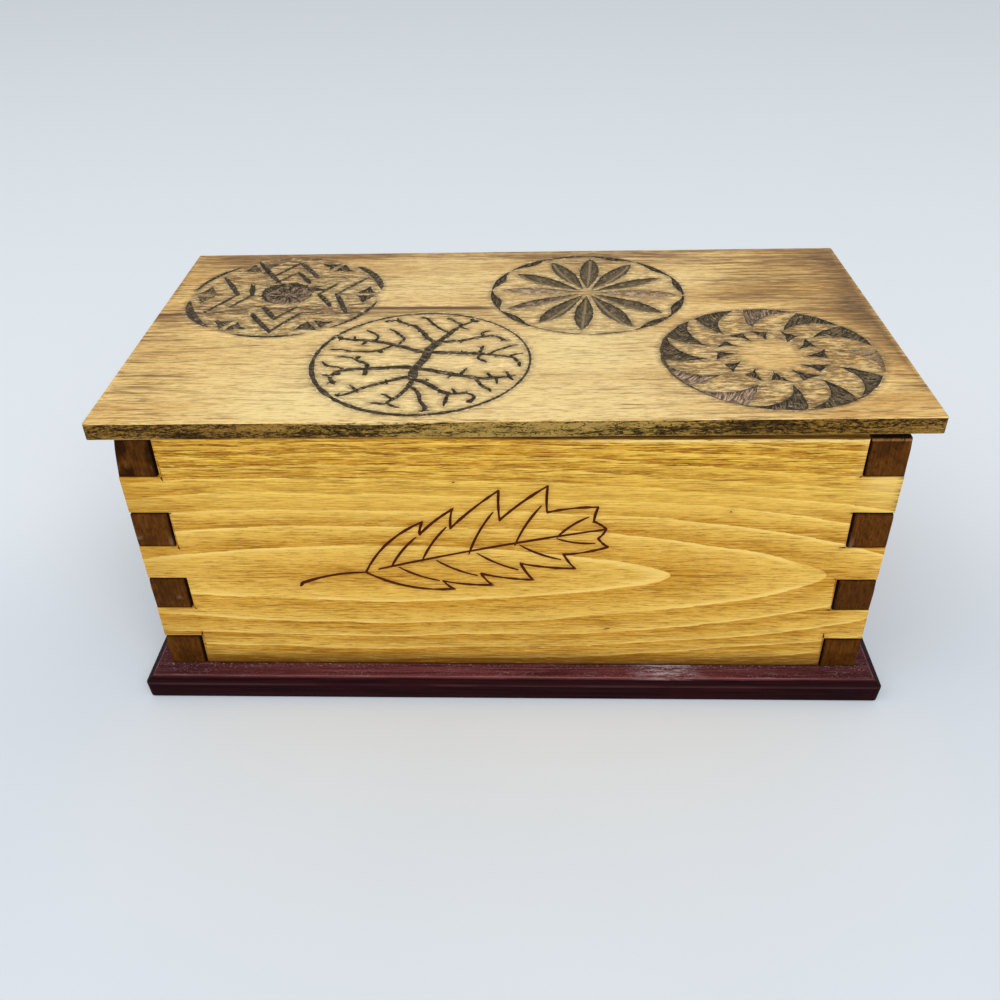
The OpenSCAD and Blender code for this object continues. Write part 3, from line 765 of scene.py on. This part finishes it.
def star(c, radius=33.6):
    """Two nested six-pointed stars of knife lines, with paired nicks and lens cuts round the rim."""
    cuts = []
    for size, notch in ((29.4, 17.8), (20.0, 11.8)):
        slips = STAR_SLIPS[size]
        apexes = [polar(c, size + slips.get(k, (0, 0))[0] + draw(-0.5, 0.5),
                        30 + 60 * k + slips.get(k, (0, 0))[1] + draw(-1, 1)) for k in range(6)]
        feet = [polar(c, notch + draw(-0.6, 0.6), 60 * k + draw(-1, 1)) for k in range(6)]
        for k in range(6):
            for foot in (feet[k], feet[(k + 1) % 6]):
                lean = degrees(atan2(*(foot - apexes[k])[::-1])) % 180
                wide, burn = (2.0, 1.0) if 95 < lean < 150 else (1.4, 0.9) if 35 < lean < 85 else (0.8, 0.5)
                path = bow(apexes[k], foot, draw(-0.2, 0.3), 8)
                cuts.append(tapered(path, wide, 0.7, 0.7, burn, ragged=0.14))
    path = bow(polar(c, 34.8, 118), polar(c, 11.0, 113), -0.3, 12)
    cuts.append(tapered(path, 2.1, 0.35, 0.8, ragged=0.1))
    for k, thick in ((0, 2.9), (1, 0.9), (2, 1.6), (3, 3.0), (4, 1.4), (5, 1.5)):
        a = 30 + 60 * k + draw(-2, 2)
        cuts.append(tapered(arc(c, radius, a - 21, a + 21, 14), thick, 0.15, 0.7, 1.0 if thick > 1.2 else 0.5,
                            ragged=0.1))
    for k in range(6):
        way = polar((0, 0), 1, 60 * k)
        for side in (-1, 1):
            over = left(way) * side
            near, far = draw(24.5, 25.8), draw(31.8, 33.0)
            a, b = c + way * near + over * 0.9, c + way * far + over * 0.9
            tip = c + way * draw(28.0, 29.6) + over * draw(6.8, 8.2)
            loop = around(bow(a, b, 0, 6), bow(b, tip, 0.3 * side, 6), bow(tip, a, 0.3 * side, 6))
            if side > 0:
                loop = loop[::-1]
            cuts.append(Chip(loop, 1.0, 0.6, axis=radians(60 * k + 90 * side), grid=0.5, ragged=0.3,
                             burn=0.85 if k in (2, 3) else 1.0, bare=0.2 if k in (3, 4) else 0.0))
    for angle, near, far in ((180, 17.5, 26.0), (0, 17.5, 25.5), (182, 9.5, 12.4), (121, 18.5, 25.5)):
        path = bow(polar(c, near, angle), polar(c, far, angle), 0.2, 6)
        cuts.append(tapered(path, 0.8, 0.4, 0.35, 0.6, ragged=0.2))
    middle = c + (0.3, 0.8)
    hub = arc(middle, 8.9, 0, 360, 36)[:-1]
    cuts.append(Chip(hub, 0.35, 0.5, burn=0.95, bare=0.45, axis=1.2, chatter=0.12, grid=0.5, ragged=0.6))
    cuts[-1].outlined = 0.2
    for start, end, wide in ((15, 120, 2.2), (100, 215, 3.2), (205, 262, 1.2), (310, 360, 0.8)):
        cuts.append(tapered(arc(middle, 8.2, start, end, 20), wide, 0.4, 1.2, ragged=0.6))
    for k in range(19):
        a = 360 / 19 * k + draw(-7, 7)
        path = bow(polar(middle, draw(0.8, 3.0), a), polar(middle, draw(6.2, 8.6), a + 6), 0.5, 6)
        cuts.append(tapered(path, draw(0.9, 2.2 if 60 < a < 210 else 1.5), 0.3, 1.3,
                            bare=0.9 if k % 4 == 1 else 0.0, ragged=0.4))
    for start, end, wide, depth in (((6.4, 3.4), (13.4, 3.0), 2.4, 0.5), ((6.8, 5.4), (11.6, 6.2), 1.3, 0.4)):
        cuts.append(tapered(bow(middle + start, middle + end, 0.3, 6), wide, 0.3, depth, ragged=0.5))
    return cuts


def branching(c, radius=33.9):
    """A ring filled by a tree with roots. From the ends of a short trunk its boughs grow step by step towards
    scattered goals, and they are thicker the more twigs they carry."""
    grow = random.Random(2)
    goals = []
    for _ in range(5000):
        goal = polar((0, 0), radius * sqrt(grow.uniform(0.14, 0.925)), grow.uniform(0, 360))
        if all(np.hypot(*(goal - other)) > 4.0 for other in goals):
            goals.append(goal)
    goals = np.array(goals)
    nodes = [np.array(p) for p in ((-1.5, -6.0), (-0.5, -3.0), (0.8, 0.0), (1.6, 3.0), (1.4, 6.0))]
    parent = [0, 0, 1, 2, 3]
    while len(goals):
        spots = np.array(nodes)
        gaps = np.hypot(*(goals[:, None] - spots[None]).transpose(2, 0, 1))
        left = gaps.min(1) > 1.8
        goals, gaps = goals[left], gaps[left]
        gaps[:, 1:4] += 1000                   # nothing grows from the trunk between its ends
        nearest = gaps.argmin(1)
        count = len(nodes)
        for node in np.unique(nearest):
            pull = goals[nearest == node] - spots[node]
            way = (pull / np.hypot(*pull.T)[:, None]).sum(0)
            way += grow.uniform(-0.5, 0.5), grow.uniform(-0.5, 0.5)
            new = spots[node] + way / max(np.hypot(*way), 1e-6) * 1.25
            if min(np.hypot(*(new - other)) for other in nodes) > 0.78:
                nodes.append(new)
                parent.append(node)
        if len(nodes) == count:
            break
    tips = [0] * len(nodes)
    children = [[] for _ in nodes]
    for k in range(len(nodes) - 1, 0, -1):
        tips[k] = max(tips[k], 1)
        tips[parent[k]] += tips[k]
        children[parent[k]].append(k)
    thick = [min(3.0, 0.66 + 0.44 * t ** 0.58) for t in tips]
    angles = np.radians(np.linspace(0, 360, 121))
    cuts = [Line(arc(c, radius, 0, 360, 120), 1.1 - 0.45 * np.cos(angles - 0.6), 0.45, ragged=0.3)]
    for k in range(len(nodes)):
        for start in children[k]:
            if len(children[k]) == 1 and k:
                continue                       # it is inside a run that starts at a fork further down
            run = [k, start]
            while len(children[run[-1]]) == 1:
                run.append(children[run[-1]][0])
            path = np.array([nodes[i] for i in run])
            soft = path.copy()
            soft[1:-1] = (path[:-2] + 2 * path[1:-1] + path[2:]) / 4
            width = np.array([thick[i] for i in run])
            width[0] = width[1]
            if not children[run[-1]]:
                width[-2:] = (1.5, 1.7) if grow.random() < 0.25 else (1.0, 0.6)
            cuts.append(Line(c + soft, width, 0.55, ragged=0.22))
    return cuts


# The drawn leaf on the front: a plain toothed leaf, made by rule

def leaf():
    """Burnt lines for a toothed leaf with a midrib, veins and a stalk, lying along the front board."""
    foot, tip = np.array([-44.5, 47.6]), np.array([29.8, 64.6])
    way = (tip - foot) / np.hypot(*(tip - foot))
    up = left(way)
    long = np.hypot(*(tip - foot))

    def at(t, h):
        return foot + way * long * t + up * h

    cuts = []
    for side, starts, height in ((1, (0.17, 0.30, 0.50, 0.69, 0.86), (15.0, 17.4, 21.0, 19.4, 8.6)),
                                 (-1, (0.20, 0.36, 0.53, 0.71, 0.86), (12.6, 13.6, 14.4, 12.8, 6.8))):
        valley = foot
        for k, (s, h) in enumerate(zip(starts, side * np.array(height))):
            point = at(s + 0.13, h)
            cuts.append(Line(bow(valley, point, (2.4 if k == 0 else 0.5) * side, 9), 0.85, 0.4, ragged=0.3))
            back = at(s + 0.10, h * (0.70, 0.62, 0.50, 0.52, 0.42)[k])
            cuts.append(Line(bow(point, back, -0.25 * side, 5), 0.8, 0.4, ragged=0.3))
            root = at(max(0.06, s - 0.06), 0.2 * side)
            vein = bow(root, at(s + 0.085, h * 0.66), 0.7 * side, 7)
            cuts.append(tapered(vein, 0.85, 0.5, 0.35, ragged=0.2))
            valley = back
        cuts.append(Line(bow(valley, tip, 0.3 * side, 6), 0.8, 0.4, ragged=0.3))
    cuts.append(Line(bow(at(0.06, 0.4), tip, 0.8, 16), 0.8, 0.38, ragged=0.2))
    stalk = bow(foot, foot + np.array([-20.6, -4.4]), -1.1, 10)
    cuts.append(Line(stalk, np.linspace(0.7, 1.1, 11), 0.4, ragged=0.2))
    cuts.append(Line(bow(stalk[-1], stalk[-1] + np.array([-0.9, -1.5]), 0, 3), (1.3, 1.2, 0.8, 0.3), 0.4))
    return cuts


# Boards

def finger_line(k):
    """How far below the front board's top edge finger k starts: they were sawn a little too low."""
    share = k / FINGERS
    return (TOP - FOOT) * share + 4 * FINGER_DRIFT * share * (1 - share)


def front_outline():
    """The front board's edge in (x, z): every second finger is cut away, by hand, a little too wide."""
    full, deep = FRONT_HIGH[0], FRONT_HIGH[0] - SIDE_THICK

    def side(sign):
        points = []
        for k in range(FINGERS - 1, -1, -1):
            z0, z1 = TOP - finger_line(k + 1), TOP - finger_line(k)
            if k % 2:
                points += [(full, z0), (full, z1)]
            else:
                a, b = draw(0.22, 0.62, 2)
                c, d = draw(0.04, 0.30, 2)
                z0 = FOOT if k == FINGERS - 1 else z0 - c
                z1 = TOP if k == 0 else z1 + d
                if points:
                    points[-1] = (full, z0 + draw(0.0, 0.12))
                points += [(deep - a, z0), (deep - b, z1)]
                if k > 0:
                    points.append((full, z1 - draw(0.0, 0.10)))
                SOCKETS[sign, k] = (sign * (deep - a), z0, sign * (deep - b), z1)
        clean = []
        for p in points:
            if clean and abs(p[0] - clean[-1][0]) < 1e-6 and abs(p[1] - clean[-1][1]) < 0.6:
                continue
            clean.append(p)
        return [(sign * x, z) for x, z in clean]

    right, left = side(1), side(-1)
    return np.array(right + left[::-1])


def eased_corners(points, r):
    """A loop whose corners are cut off a little."""
    loop = []
    for a, b, c in zip(np.roll(points, 1, 0), points, np.roll(points, -1, 0)):
        for d in (a, c):
            loop.append(b + (d - b) * min(r / max(np.hypot(*(d - b)), 1e-6), 0.4))
    return np.array(loop)


def make_side(sign):
    """A side board, whose finger ends were pared by hand and stop a little short of their sockets."""
    front, deep = FRONT_LOW[1], FRONT_HIGH[1]
    ends = []
    for k in range(FINGERS - 1, -1, -1):
        z0, z1 = TOP - finger_line(k + 1), TOP - finger_line(k)
        if k % 2 == 0:
            z0 += 0 if k == FINGERS - 1 else draw(0.02, 0.10)
            z1 -= 0 if k == 0 else draw(0.22, 0.5)
            short = draw(0.0, 0.12, 2)
            if ends:
                ends.append((deep, z0))
            ends += [(front + short[0], z0), (front + short[1], z1)]
            if k:
                ends.append((deep, z1))
    loop = [(-y, z) for y, z in reversed(ends)] + ends
    loop = eased_corners(np.array(loop), 0.25)

    def place(p):
        # The top finger of the left side leans in
        up = np.clip((p[:, 1] - (TOP - finger_line(1))) / finger_line(1), 0, 1)
        lean = (1.7 if sign < 0 else 0.25) * up ** 1.2 * np.clip((-p[:, 0] - 44) / 8, 0, 1)
        w = SIDE_LOW[0] + p[:, 2] * (1 - lean / SIDE_THICK)
        return np.stack([sign * w, p[:, 0], p[:, 1]], 1)

    side = "right" if sign > 0 else "left"
    piece = plate(f"{side}_panel", mitred(loop), 0.0, SIDE_THICK, place, EASED, flip=sign < 0,
                  seeds=[lattice((front + 0.5, FOOT + 0.5), (deep - 0.5, TOP - 0.5), 2.0)])
    paint(piece, "box", "walnut", DARK, DARK, DARK)
    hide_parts(f"{side}_side_board")


def saw_marks():
    """Where saw and chisel ran past the corners of the hand-cut sockets, and a few small dents."""
    cuts = []
    # Side, finger, whether at the socket's top, and how far the mark runs towards the middle and upward
    for side, k, high, across, up in (
            (-1, 0, 0, 0.3, -1.1), (-1, 2, 0, 0.2, -0.9), (-1, 4, 0, 0.8, -0.3), (-1, 6, 1, 0.1, 1.9),
            (1, 0, 0, 0.8, -0.2), (1, 2, 0, 1.9, -0.1), (1, 4, 0, 1.4, 0.0), (1, 4, 1, 0.4, 0.4),
            (1, 6, 1, 0.1, 2.0), (1, 2, 1, 0.5, 0.2), (-1, 2, 1, 0.7, 0.2)):
        x0, z0, x1, z1 = SOCKETS[side, k]
        x, z = (x1, z1) if high else (x0, z0)
        flat = abs(up) < abs(across)
        aside, rise = (0.08, -0.32) if flat else (0.32, 0.08)
        start = np.array([x - side * aside, z + (rise if high else -rise)])
        path = bow(start, start + (-side * across, up), 0, 4)
        cuts.append(Line(path, (0.55, 0.5, 0.45, 0.35, 0.2), 0.6))
    for x, z, long in ((30.6, 23.9, 2.2), (-16.0, 81.5, 0.9), (66.0, 71.0, 0.6)):
        path = bow((x, z), (x + long, z + 0.5 * long / 2.2), 0.1, 4)
        cuts.append(tapered(path, 0.5, 0.2, 0.2, burn=0.8))
    return cuts


def paint(piece, body, slot, *materials):
    for material in materials:
        piece.data.materials.append(material)
    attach(piece, body)
    return piece


def make_front():
    """The front board with its drawn leaf. Its mesh is finest at the leaf and at the fingers."""
    outline = mitred(front_outline())
    deep = FRONT_HIGH[0] - SIDE_THICK
    seeds = [lattice((-50, 34), (36, 84), 0.9), lattice((-deep + 4, FOOT + 1), (deep - 4, TOP - 1), 1.8)]
    for side in (-1, 1):
        middle = side * (deep - 1)
        seeds.append(lattice((middle - 3.6, FOOT + 1), (middle + 3.6, TOP - 1), 0.7,
                             lambda p: inside(p, outline(0.5))))
    piece = plate("front_panel", outline, 0.0, FRONT_HIGH[1] - FRONT_LOW[1],
                  lambda p: np.stack([p[:, 0], FRONT_HIGH[1] - p[:, 2], p[:, 1]], 1),
                  ((0, 0.35), (0.05, 0.2), (0.16, 0.06), (0.35, 0)), leaf() + saw_marks(), seeds)
    wood = pine("Pine_front", 46.5, 0.3, 1.0)
    paint(piece, "box", "pine", wood, wood, wood)
    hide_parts("front_board")


def make_base():
    """The base plate, its ends pared back a little towards the floor. The screws sit in it, from below."""
    size = BASE_HIGH - BASE_LOW
    screws = [(x * SCREW_X, y * SCREW_Y) for x in (-1, 0, 1) for y in (-1, 1)]

    def place(p):
        sunk = np.clip((BASE_TOP - 2.0 - p[:, 2]) / (size[2] - 2.0), 0, 1)
        return np.stack([p[:, 0] * (1 - 0.0045 * sunk), p[:, 1], p[:, 2]], 1)

    def pocket(points):
        sunk = [min(np.hypot(*(p - s)) for s in screws) < SCREW_HEAD + 0.01 for p in points]
        return np.where(sunk, SCREW_SINK, 0.0)

    rings = [(arc(s, SCREW_HEAD + slack, 0, 360, 32)[:-1], True) for s in screws for slack in (0, 0.03)]
    piece = plate("base_panel", rounded(size[0], size[1], 1.6), BASE_LOW[2], BASE_TOP, place,
                  ((0, 2.0), (0.10, 1.76), (2.45, 0.16), (2.70, 0.04), (2.95, 0)),
                  low_profile=((0, 0.35), (0.35, 0)), pocket=pocket, pocket_edges=rings)
    wood = purpleheart("Purpleheart")
    paint(piece, "box", "purpleheart", wood, wood, wood)
    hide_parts("base_plate")


CARVED = 36.5
ROUNDELS = ((-79.7, 27.5), (26.7, 27.8), (-27.0, -23.0), (81.3, -21.0))
# Brown patches of the lid, and patches worn light: middle, half size and strength
STAINS = ((77, 24, 14, 3.4, 0.55), (84, 38, 18, 8, 0.2), (98, 33, 22, 14, 0.62), (112, 56, 30, 8, 0.65),
          (121, 14, 9, 52, 0.95), (110, 12, 16, 9, 0.55), (-40, 12, 30, 5, 0.5), (-100, 57, 30, 11, 0.7),
          (-112, 16, 16, 8, 0.2), (-110, 2, 12, 6, 0.3), (30, -20, 16, 6, 0.1), (0, 64, 140, 6, 0.62),
          (14, 57, 20, 6, 0.4), (50, 57, 24, 6, 0.35), (66, -56, 24, 10, 0.22), (-116, -22, 13, 42, 0.36),
          (-104, -40, 12, 10, 0.3), (46, -42, 14, 5, 0.35), (110, -56, 20, 7, 0.2), (84, -2, 40, 20, 0.12))
WORN = ((-60, -44, 34, 22, 1.0), (-68, -54, 26, 9, 0.6), (24, -24, 26, 26, 0.85), (24, -8, 24, 10, 0.5),
        (14, -54, 44, 9, 0.7), (-27, -23, 34, 30, 0.7), (-32, 38, 34, 14, 0.5), (64, 40, 12, 14, 0.35),
        (-84, 30, 14, 14, 0.2), (-94, -10, 22, 9, 0.5), (26, 28, 30, 24, 0.3), (80, -21, 16, 14, 0.3))


def patches(table, points):
    total = np.zeros(len(points))
    for x, y, wide, deep, strength in table:
        total += strength * np.exp(-((points[:, 0] - x) / wide) ** 2 - ((points[:, 1] - y) / deep) ** 2)
    return total


def smudged(points):
    """Soot that was rubbed about inside each roundel."""
    total = np.zeros(len(points))
    for (x, y), strength in zip(ROUNDELS, (1.0, 0.6, 0.35, 1.0)):
        away = np.hypot(points[:, 0] - x, points[:, 1] - y)
        total = np.maximum(total, strength * np.clip((37 - away) / 5, 0, 1))
    hollow = np.hypot(points[:, 0] - ROUNDELS[3][0], points[:, 1] - ROUNDELS[3][1])
    return total * np.where(hollow < 12, np.clip((hollow - 6) / 6, 0.25, 1), 1)


def make_lid():
    """The carved lid. Its outline and its hinge pockets are the CAD lid's."""
    turn = np.array([[cos(LID_SKEW), -sin(LID_SKEW)], [sin(LID_SKEW), cos(LID_SKEW)]])
    straight = rounded(LID_SIZE[0], LID_SIZE[1], LID_CORNER)
    hinge_x = (PIN_LOW[0] + PIN_HIGH[0]) / 2
    axis_y = (PIN_LOW[1] + PIN_HIGH[1]) / 2
    half = (PIN_HIGH[0] - PIN_LOW[0]) / 2 + 0.1
    slack = 0.03
    crossings = sorted(s * hinge_x + e for s in (-1, 1) for e in (-half - slack, -half, half, half + slack))

    def outline(inset):
        loop = straight(inset) @ turn.T + LID_MIDDLE
        n = len(loop) // 2                     # the back edge runs from this point to the next, leftwards
        a, b = loop[n - 1], loop[n]
        cut = [a + (b - a) * (x - a[0]) / (b[0] - a[0]) for x in reversed(crossings)]
        return np.vstack([loop[:n], cut, loop[n:]])

    def pocket(points):
        sunk = np.zeros(len(points))
        for s in (-1, 1):
            across = np.abs(points[:, 0] - s * hinge_x) < half + 1e-3
            sunk[across & (points[:, 1] > axis_y - LEAF_REACH - 1e-3)] = LEAF_POCKET
            sunk[across & (points[:, 1] > axis_y - KNUCKLE_REACH - 1e-3)] = KNUCKLE_POCKET
        return sunk

    rim = outline(0)
    edges = []
    for s in (-1, 1):
        for grow in (0.0, slack):
            ends = [p for p in rim if abs(abs(p[0] - s * hinge_x) - half - grow) < 1e-6 and p[1] > axis_y]
            ends.sort(key=lambda p: p[0])
            front = axis_y - LEAF_REACH - grow
            edges.append((np.array([ends[0], (ends[0][0], front), (ends[1][0], front), ends[1]]), False))
        for reach in (KNUCKLE_REACH, KNUCKLE_REACH + slack):
            y = axis_y - reach
            edges.append((np.array([(s * hinge_x - half, y), (s * hinge_x + half, y)]), False))

    cuts = []
    for carve, centre in zip((star, rosette, branching, whirl), ROUNDELS):
        cuts += carve(np.array(centre))
    seeds = [lattice(LID_LOW[:2] + 3, LID_HIGH[:2] - 3, 3.0)]
    for centre in ROUNDELS:
        seeds.append(lattice(np.subtract(centre, CARVED), np.add(centre, CARVED), 0.8,
                             lambda p, c=centre: np.hypot(*(p - c).T) < CARVED))
    tones = {"stain": lambda p: patches(STAINS, p), "lightened": lambda p: patches(WORN, p), "smudge": smudged}
    piece = plate("lid_panel", outline, LID_LOW[2], LID_HIGH[2], lambda p: p, EASED, cuts, seeds, tones,
                  low_profile=((0, 0.15), (0.15, 0)), pocket=pocket, pocket_edges=edges)
    woods = lid_wood("Lid_face"), lid_wood("Lid_edge", True), lid_wood("Lid_under")
    paint(piece, "lid", "stained_pine", *woods)
    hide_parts("lid_board")


def ease(node, width):
    """Softens a CAD board's sawn edges."""
    weld = node.modifiers.new("weld", "WELD")
    weld.merge_threshold = 1e-6
    bevel = node.modifiers.new("ease", "BEVEL")
    bevel.width, bevel.segments, bevel.limit_method = width * 0.001, 2, "ANGLE"
    bevel.angle_limit = radians(35)


def dress(node, material):
    """Gives a CAD node its material."""
    NODES[node].data.materials.clear()
    NODES[node].data.materials.append(material)


DARK = walnut("Walnut")
make_base()
make_front()
make_side(-1)
make_side(1)
make_lid()
dress("back_board", pine("Pine_back", 60.0, 0.15, -1.0))
ease(NODES["back_board"], 0.3)
brass = metal("Brass", rgb(190, 144, 66), rgb(92, 62, 24))
screw_brass = metal("Screw_brass", rgb(196, 152, 76), rgb(84, 58, 26), (1.2, 0.4, 1.2))
steel = metal("Pin_steel", rgb(176, 176, 172), rgb(92, 90, 86))
zinc = metal("Screw_zinc", rgb(186, 186, 180), rgb(104, 102, 96), (1.2, 0.4, 1.2))
for side in ("left", "right"):
    dress(f"{side}_hinge_pin", steel)
    for body in ("box", "lid"):
        dress(f"{side}_hinge_{body}_leaf", brass)
        dress(f"{side}_hinge_{body}_screws", screw_brass)
dress("base_screws", zinc)


# Stage, light and camera

def make_stage():
    mesh = bpy.data.meshes.new("Floor")
    mesh.from_pydata([(-6, -6, 0), (6, -6, 0), (6, 6, 0), (-6, 6, 0)], [], [(0, 1, 2, 3)])
    net = Net("Floor_paper")
    net.colour = net.mix(net.noise((90, 90, 90)), rgb(220, 228, 237), rgb(226, 233, 241))
    # Painted light: the floor is paler from the box's front backwards, cancelling the box's shadow beside and
    # behind it and the light's fall-off towards the back.
    net.coat(net.xyz[1].rise(-90, 60) * 0.75, 242, 247, 252)
    mesh.materials.append(net.finish(0.9, shine=0.1))
    stand("Floor", mesh)


def lamp(name, power, size, place):
    data = bpy.data.lights.new(name, "AREA")
    data.shape, data.size, data.size_y = "RECTANGLE", size[0], size[1]
    data.energy = power
    made = stand(name, data)
    made.location = place
    made.rotation_mode = "QUATERNION"
    made.rotation_quaternion = (Vector(LAMP_AIM) - Vector(place)).to_track_quat("-Z", "Y")


def make_light():
    world = bpy.data.worlds.new("Soft_room")
    world.use_nodes = True
    world.node_tree.nodes["Background"].inputs["Color"].default_value = (0.965, 0.985, 1.0, 1)
    world.node_tree.nodes["Background"].inputs["Strength"].default_value = 0.63
    bpy.context.scene.world = world
    lamp("Key", 16, (1.6, 1.2), (0.35, -1.35, 1.35))
    lamp("Fill", 4, (1.4, 1.4), (-1.2, -0.5, 1.3))


def make_camera():
    """The photo's own viewpoint, solved from the corners of the lid, the body and the base."""
    right = Vector((cos(VIEW_YAW), sin(VIEW_YAW), 0))
    ahead = Vector((-sin(VIEW_YAW) * cos(VIEW_PITCH), cos(VIEW_YAW) * cos(VIEW_PITCH), -sin(VIEW_PITCH)))
    up = right.cross(ahead)
    across = right * cos(VIEW_ROLL) + up * sin(VIEW_ROLL)
    above = up * cos(VIEW_ROLL) - right * sin(VIEW_ROLL)
    data = bpy.data.cameras.new("Camera")
    data.sensor_width, data.lens = 36.0, VIEW_LENS
    data.clip_start, data.clip_end = 0.01, 40
    camera = stand("Camera", data)
    turn = Matrix((across, above, -ahead)).transposed().to_4x4()
    camera.matrix_world = Matrix.Translation(VIEW_PLACE) @ turn
    bpy.context.scene.camera = camera


make_stage()
make_light()
make_camera()
bpy.context.scene.view_settings.view_transform = "Standard"
bpy.context.scene.view_settings.look = "None"
